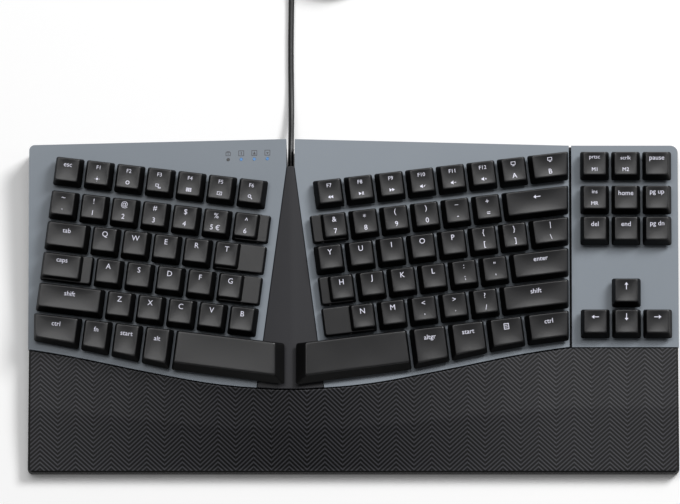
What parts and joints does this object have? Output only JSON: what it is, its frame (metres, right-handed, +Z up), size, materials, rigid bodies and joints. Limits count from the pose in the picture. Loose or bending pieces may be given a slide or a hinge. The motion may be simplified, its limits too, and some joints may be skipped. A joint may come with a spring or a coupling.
{
  "type": "ergonomic mechanical keyboard",
  "caption": "Tented split-layout mechanical keyboard with a navigation block, a patterned padded palm rest, fold-out feet and a USB lead, its keys pressing on tilted slides.",
  "frame": {"origin": "under the middle of the keyboard's outline, without its free lead, on the surface it stands on", "axes": "+X along the rows to the typist's right, +Y to the back where the lead leaves, +Z up"},
  "size_m": [0.398, 0.3671, 0.0471],
  "materials": {
    "grey_deck": "fine texture, satin",
    "black_case": "fine texture, matt",
    "palm_leather": "leatherette printed with a herringbone",
    "keycap": "smooth satin with white printing",
    "steel_plate": "cold rolled sheet",
    "board": "glass fibre board, solder mask",
    "switch_housing": "moulded",
    "light_pipe": "clear, lit blue",
    "cable_rubber": "smooth flexible jacket",
    "foot_rubber": "matt non-slip",
    "screw_steel": "zinc plated",
    "cable_tie": "flat strap",
    "plug": "moulded grip with a metal shell"
  },
  "bodies": {
    "keyboard": {"left_cover": "grey_deck", "right_cover": "grey_deck", "nav_cover": "grey_deck", "centre_wedge": "black_case", "bottom_case": "black_case", "palm_rest_pad": "palm_leather", "palm_rest_base": "black_case", "switch_plates": "steel_plate", "circuit_boards": "board", "switch_bases": "switch_housing", "switch_tops": "switch_housing", "stabiliser_guides": "switch_housing", "controller_board": "board", "status_lights": "light_pipe", "cable_grommet": "cable_rubber", "rubber_feet": "foot_rubber", "case_screws": "screw_steel", "cable_lead": "cable_rubber", "cable_coil": "cable_rubber", "cable_tail": "cable_rubber", "cable_tie": "cable_tie", "usb_plug": "plug"},
    "flip_foot_left_body": {"flip_foot_left": "black_case"},
    "flip_foot_right_body": {"flip_foot_right": "black_case"},
    "esc_key_body": {"esc_key": "keycap"},
    "function_keys_left_body": {"function_keys_left": "keycap"},
    "number_keys_left_body": {"number_keys_left": "keycap"},
    "tab_key_body": {"tab_key": "keycap"},
    "letter_keys_qwert_body": {"letter_keys_qwert": "keycap"},
    "caps_lock_key_body": {"caps_lock_key": "keycap"},
    "letter_keys_asdfg_body": {"letter_keys_asdfg": "keycap"},
    "shift_left_key_body": {"shift_left_key": "keycap"},
    "letter_keys_zxcvb_body": {"letter_keys_zxcvb": "keycap"},
    "ctrl_left_key_body": {"ctrl_left_key": "keycap"},
    "fn_key_body": {"fn_key": "keycap"},
    "start_left_key_body": {"start_left_key": "keycap"},
    "alt_left_key_body": {"alt_left_key": "keycap"},
    "space_left_key_body": {"space_left_key": "keycap"},
    "function_keys_right_body": {"function_keys_right": "keycap"},
    "layout_a_key_body": {"layout_a_key": "keycap"},
    "layout_b_key_body": {"layout_b_key": "keycap"},
    "number_keys_right_body": {"number_keys_right": "keycap"},
    "backspace_key_body": {"backspace_key": "keycap"},
    "letter_keys_yuiop_body": {"letter_keys_yuiop": "keycap"},
    "backslash_key_body": {"backslash_key": "keycap"},
    "letter_keys_hjkl_body": {"letter_keys_hjkl": "keycap"},
    "enter_key_body": {"enter_key": "keycap"},
    "letter_keys_nm_body": {"letter_keys_nm": "keycap"},
    "shift_right_key_body": {"shift_right_key": "keycap"},
    "space_right_key_body": {"space_right_key": "keycap"},
    "alt_right_key_body": {"alt_right_key": "keycap"},
    "start_right_key_body": {"start_right_key": "keycap"},
    "menu_key_body": {"menu_key": "keycap"},
    "ctrl_right_key_body": {"ctrl_right_key": "keycap"},
    "system_keys_body": {"system_keys": "keycap"},
    "navigation_keys_body": {"navigation_keys": "keycap"},
    "up_arrow_key_body": {"up_arrow_key": "keycap"},
    "left_arrow_key_body": {"left_arrow_key": "keycap"},
    "down_arrow_key_body": {"down_arrow_key": "keycap"},
    "right_arrow_key_body": {"right_arrow_key": "keycap"}
  },
  "joints": [
    {"name": "esc_key_press", "type": "slide", "parent": "keyboard", "child": "esc_key_body", "axis": [0.1219, 0.0692, -0.9901], "range_m": [0, 0.003], "stiffness_N_per_m": 75, "springref_m": -0.005},
    {"name": "function_keys_left_press", "type": "slide", "parent": "keyboard", "child": "function_keys_left_body", "axis": [0.1219, 0.0692, -0.9901], "range_m": [0, 0.003], "stiffness_N_per_m": 450, "springref_m": -0.005},
    {"name": "number_keys_left_press", "type": "slide", "parent": "keyboard", "child": "number_keys_left_body", "axis": [0.1219, 0.0692, -0.9901], "range_m": [0, 0.003], "stiffness_N_per_m": 525, "springref_m": -0.005},
    {"name": "tab_key_press", "type": "slide", "parent": "keyboard", "child": "tab_key_body", "axis": [0.1219, 0.0692, -0.9901], "range_m": [0, 0.003], "stiffness_N_per_m": 75, "springref_m": -0.005},
    {"name": "letter_keys_qwert_press", "type": "slide", "parent": "keyboard", "child": "letter_keys_qwert_body", "axis": [0.1219, 0.0692, -0.9901], "range_m": [0, 0.003], "stiffness_N_per_m": 375, "springref_m": -0.005},
    {"name": "caps_lock_key_press", "type": "slide", "parent": "keyboard", "child": "caps_lock_key_body", "axis": [0.1219, 0.0692, -0.9901], "range_m": [0, 0.003], "stiffness_N_per_m": 75, "springref_m": -0.005},
    {"name": "letter_keys_asdfg_press", "type": "slide", "parent": "keyboard", "child": "letter_keys_asdfg_body", "axis": [0.1219, 0.0692, -0.9901], "range_m": [0, 0.003], "stiffness_N_per_m": 375, "springref_m": -0.005},
    {"name": "shift_left_key_press", "type": "slide", "parent": "keyboard", "child": "shift_left_key_body", "axis": [0.1219, 0.0692, -0.9901], "range_m": [0, 0.003], "stiffness_N_per_m": 75, "springref_m": -0.005},
    {"name": "letter_keys_zxcvb_press", "type": "slide", "parent": "keyboard", "child": "letter_keys_zxcvb_body", "axis": [0.1219, 0.0692, -0.9901], "range_m": [0, 0.003], "stiffness_N_per_m": 375, "springref_m": -0.005},
    {"name": "ctrl_left_key_press", "type": "slide", "parent": "keyboard", "child": "ctrl_left_key_body", "axis": [0.1219, 0.0692, -0.9901], "range_m": [0, 0.003], "stiffness_N_per_m": 75, "springref_m": -0.005},
    {"name": "fn_key_press", "type": "slide", "parent": "keyboard", "child": "fn_key_body", "axis": [0.1219, 0.0692, -0.9901], "range_m": [0, 0.003], "stiffness_N_per_m": 75, "springref_m": -0.005},
    {"name": "start_left_key_press", "type": "slide", "parent": "keyboard", "child": "start_left_key_body", "axis": [0.1219, 0.0692, -0.9901], "range_m": [0, 0.003], "stiffness_N_per_m": 75, "springref_m": -0.005},
    {"name": "alt_left_key_press", "type": "slide", "parent": "keyboard", "child": "alt_left_key_body", "axis": [0.1219, 0.0692, -0.9901], "range_m": [0, 0.003], "stiffness_N_per_m": 75, "springref_m": -0.005},
    {"name": "space_left_key_press", "type": "slide", "parent": "keyboard", "child": "space_left_key_body", "axis": [0.1219, 0.0692, -0.9901], "range_m": [0, 0.003], "stiffness_N_per_m": 75, "springref_m": -0.005},
    {"name": "function_keys_right_press", "type": "slide", "parent": "keyboard", "child": "function_keys_right_body", "axis": [-0.1219, 0.0692, -0.9901], "range_m": [0, 0.003], "stiffness_N_per_m": 450, "springref_m": -0.005},
    {"name": "layout_a_key_press", "type": "slide", "parent": "keyboard", "child": "layout_a_key_body", "axis": [-0.1219, 0.0692, -0.9901], "range_m": [0, 0.003], "stiffness_N_per_m": 75, "springref_m": -0.005},
    {"name": "layout_b_key_press", "type": "slide", "parent": "keyboard", "child": "layout_b_key_body", "axis": [-0.1219, 0.0692, -0.9901], "range_m": [0, 0.003], "stiffness_N_per_m": 75, "springref_m": -0.005},
    {"name": "number_keys_right_press", "type": "slide", "parent": "keyboard", "child": "number_keys_right_body", "axis": [-0.1219, 0.0692, -0.9901], "range_m": [0, 0.003], "stiffness_N_per_m": 450, "springref_m": -0.005},
    {"name": "backspace_key_press", "type": "slide", "parent": "keyboard", "child": "backspace_key_body", "axis": [-0.1219, 0.0692, -0.9901], "range_m": [0, 0.003], "stiffness_N_per_m": 75, "springref_m": -0.005},
    {"name": "letter_keys_yuiop_press", "type": "slide", "parent": "keyboard", "child": "letter_keys_yuiop_body", "axis": [-0.1219, 0.0692, -0.9901], "range_m": [0, 0.003], "stiffness_N_per_m": 525, "springref_m": -0.005},
    {"name": "backslash_key_press", "type": "slide", "parent": "keyboard", "child": "backslash_key_body", "axis": [-0.1219, 0.0692, -0.9901], "range_m": [0, 0.003], "stiffness_N_per_m": 75, "springref_m": -0.005},
    {"name": "letter_keys_hjkl_press", "type": "slide", "parent": "keyboard", "child": "letter_keys_hjkl_body", "axis": [-0.1219, 0.0692, -0.9901], "range_m": [0, 0.003], "stiffness_N_per_m": 450, "springref_m": -0.005},
    {"name": "enter_key_press", "type": "slide", "parent": "keyboard", "child": "enter_key_body", "axis": [-0.1219, 0.0692, -0.9901], "range_m": [0, 0.003], "stiffness_N_per_m": 75, "springref_m": -0.005},
    {"name": "letter_keys_nm_press", "type": "slide", "parent": "keyboard", "child": "letter_keys_nm_body", "axis": [-0.1219, 0.0692, -0.9901], "range_m": [0, 0.003], "stiffness_N_per_m": 375, "springref_m": -0.005},
    {"name": "shift_right_key_press", "type": "slide", "parent": "keyboard", "child": "shift_right_key_body", "axis": [-0.1219, 0.0692, -0.9901], "range_m": [0, 0.003], "stiffness_N_per_m": 75, "springref_m": -0.005},
    {"name": "space_right_key_press", "type": "slide", "parent": "keyboard", "child": "space_right_key_body", "axis": [-0.1219, 0.0692, -0.9901], "range_m": [0, 0.003], "stiffness_N_per_m": 75, "springref_m": -0.005},
    {"name": "alt_right_key_press", "type": "slide", "parent": "keyboard", "child": "alt_right_key_body", "axis": [-0.1219, 0.0692, -0.9901], "range_m": [0, 0.003], "stiffness_N_per_m": 75, "springref_m": -0.005},
    {"name": "start_right_key_press", "type": "slide", "parent": "keyboard", "child": "start_right_key_body", "axis": [-0.1219, 0.0692, -0.9901], "range_m": [0, 0.003], "stiffness_N_per_m": 75, "springref_m": -0.005},
    {"name": "menu_key_press", "type": "slide", "parent": "keyboard", "child": "menu_key_body", "axis": [-0.1219, 0.0692, -0.9901], "range_m": [0, 0.003], "stiffness_N_per_m": 75, "springref_m": -0.005},
    {"name": "ctrl_right_key_press", "type": "slide", "parent": "keyboard", "child": "ctrl_right_key_body", "axis": [-0.1219, 0.0692, -0.9901], "range_m": [0, 0.003], "stiffness_N_per_m": 75, "springref_m": -0.005},
    {"name": "system_keys_press", "type": "slide", "parent": "keyboard", "child": "system_keys_body", "axis": [0, 0.0698, -0.9976], "range_m": [0, 0.003], "stiffness_N_per_m": 225, "springref_m": -0.005},
    {"name": "navigation_keys_press", "type": "slide", "parent": "keyboard", "child": "navigation_keys_body", "axis": [0, 0.0698, -0.9976], "range_m": [0, 0.003], "stiffness_N_per_m": 450, "springref_m": -0.005},
    {"name": "up_arrow_key_press", "type": "slide", "parent": "keyboard", "child": "up_arrow_key_body", "axis": [0, 0.0698, -0.9976], "range_m": [0, 0.003], "stiffness_N_per_m": 75, "springref_m": -0.005},
    {"name": "left_arrow_key_press", "type": "slide", "parent": "keyboard", "child": "left_arrow_key_body", "axis": [0, 0.0698, -0.9976], "range_m": [0, 0.003], "stiffness_N_per_m": 75, "springref_m": -0.005},
    {"name": "down_arrow_key_press", "type": "slide", "parent": "keyboard", "child": "down_arrow_key_body", "axis": [0, 0.0698, -0.9976], "range_m": [0, 0.003], "stiffness_N_per_m": 75, "springref_m": -0.005},
    {"name": "right_arrow_key_press", "type": "slide", "parent": "keyboard", "child": "right_arrow_key_body", "axis": [0, 0.0698, -0.9976], "range_m": [0, 0.003], "stiffness_N_per_m": 75, "springref_m": -0.005},
    {"name": "flip_foot_left_turn", "type": "hinge", "parent": "keyboard", "child": "flip_foot_left_body", "pos_m": [-0.16, 0.0835, 0.0034], "axis": [1, 0, 0], "range_deg": [0, 80]},
    {"name": "flip_foot_right_turn", "type": "hinge", "parent": "keyboard", "child": "flip_foot_right_body", "pos_m": [0.16, 0.0835, 0.0034], "axis": [1, 0, 0], "range_deg": [0, 80]}
  ]
}
